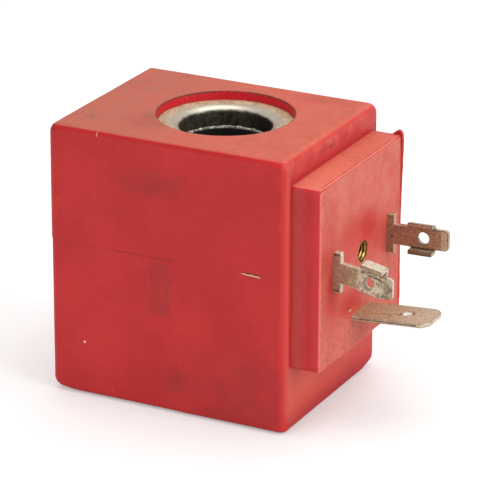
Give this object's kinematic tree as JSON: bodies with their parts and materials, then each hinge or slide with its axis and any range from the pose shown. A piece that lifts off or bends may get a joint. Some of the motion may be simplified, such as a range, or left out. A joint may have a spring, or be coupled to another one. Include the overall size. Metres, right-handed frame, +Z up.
{
  "type": "solenoid valve coil",
  "caption": "Encapsulated solenoid valve coil: red moulded block with a through bore for the core tube and a side connector base with live and earth terminals.",
  "frame": {"origin": "on the bore's axis, at the underside", "axes": "+Z up along the bore, +X out of the connector base"},
  "size_m": [0.0545, 0.0304, 0.041],
  "materials": {
    "red_moulding": "satin, moulded, soiled by use",
    "bobbin_plastic": "satin",
    "carrier_plastic": "satin",
    "copper_wire": "enamelled",
    "film_tape": "film",
    "yoke_steel": "zinc plated",
    "collar_steel": "zinc plated, dull, rolled lip polished by handling",
    "terminal_tin": "tinned brass, tarnished",
    "earth_tin": "tinned brass, tarnished",
    "insert_brass": "turned",
    "rivet_brass": "headed",
    "sleeve_plastic": "varnished glass tube",
    "solder_alloy": "bright"
  },
  "bodies": {
    "root": {"housing": "red_moulding", "bobbin": "bobbin_plastic", "winding": "copper_wire", "winding_tape": "film_tape", "upper_flux_collar": "collar_steel", "lower_flux_collar": "collar_steel", "yoke_frame": "yoke_steel", "terminal_carrier": "carrier_plastic", "screw_insert": "insert_brass", "left_live_terminal": "terminal_tin", "right_live_terminal": "terminal_tin", "earth_terminal": "earth_tin", "earth_rivet": "rivet_brass", "start_lead": "copper_wire", "start_lead_sleeve": "sleeve_plastic", "start_solder_joint": "solder_alloy", "finish_lead": "copper_wire", "finish_lead_sleeve": "sleeve_plastic", "finish_solder_joint": "solder_alloy"}
  },
  "joints": []
}
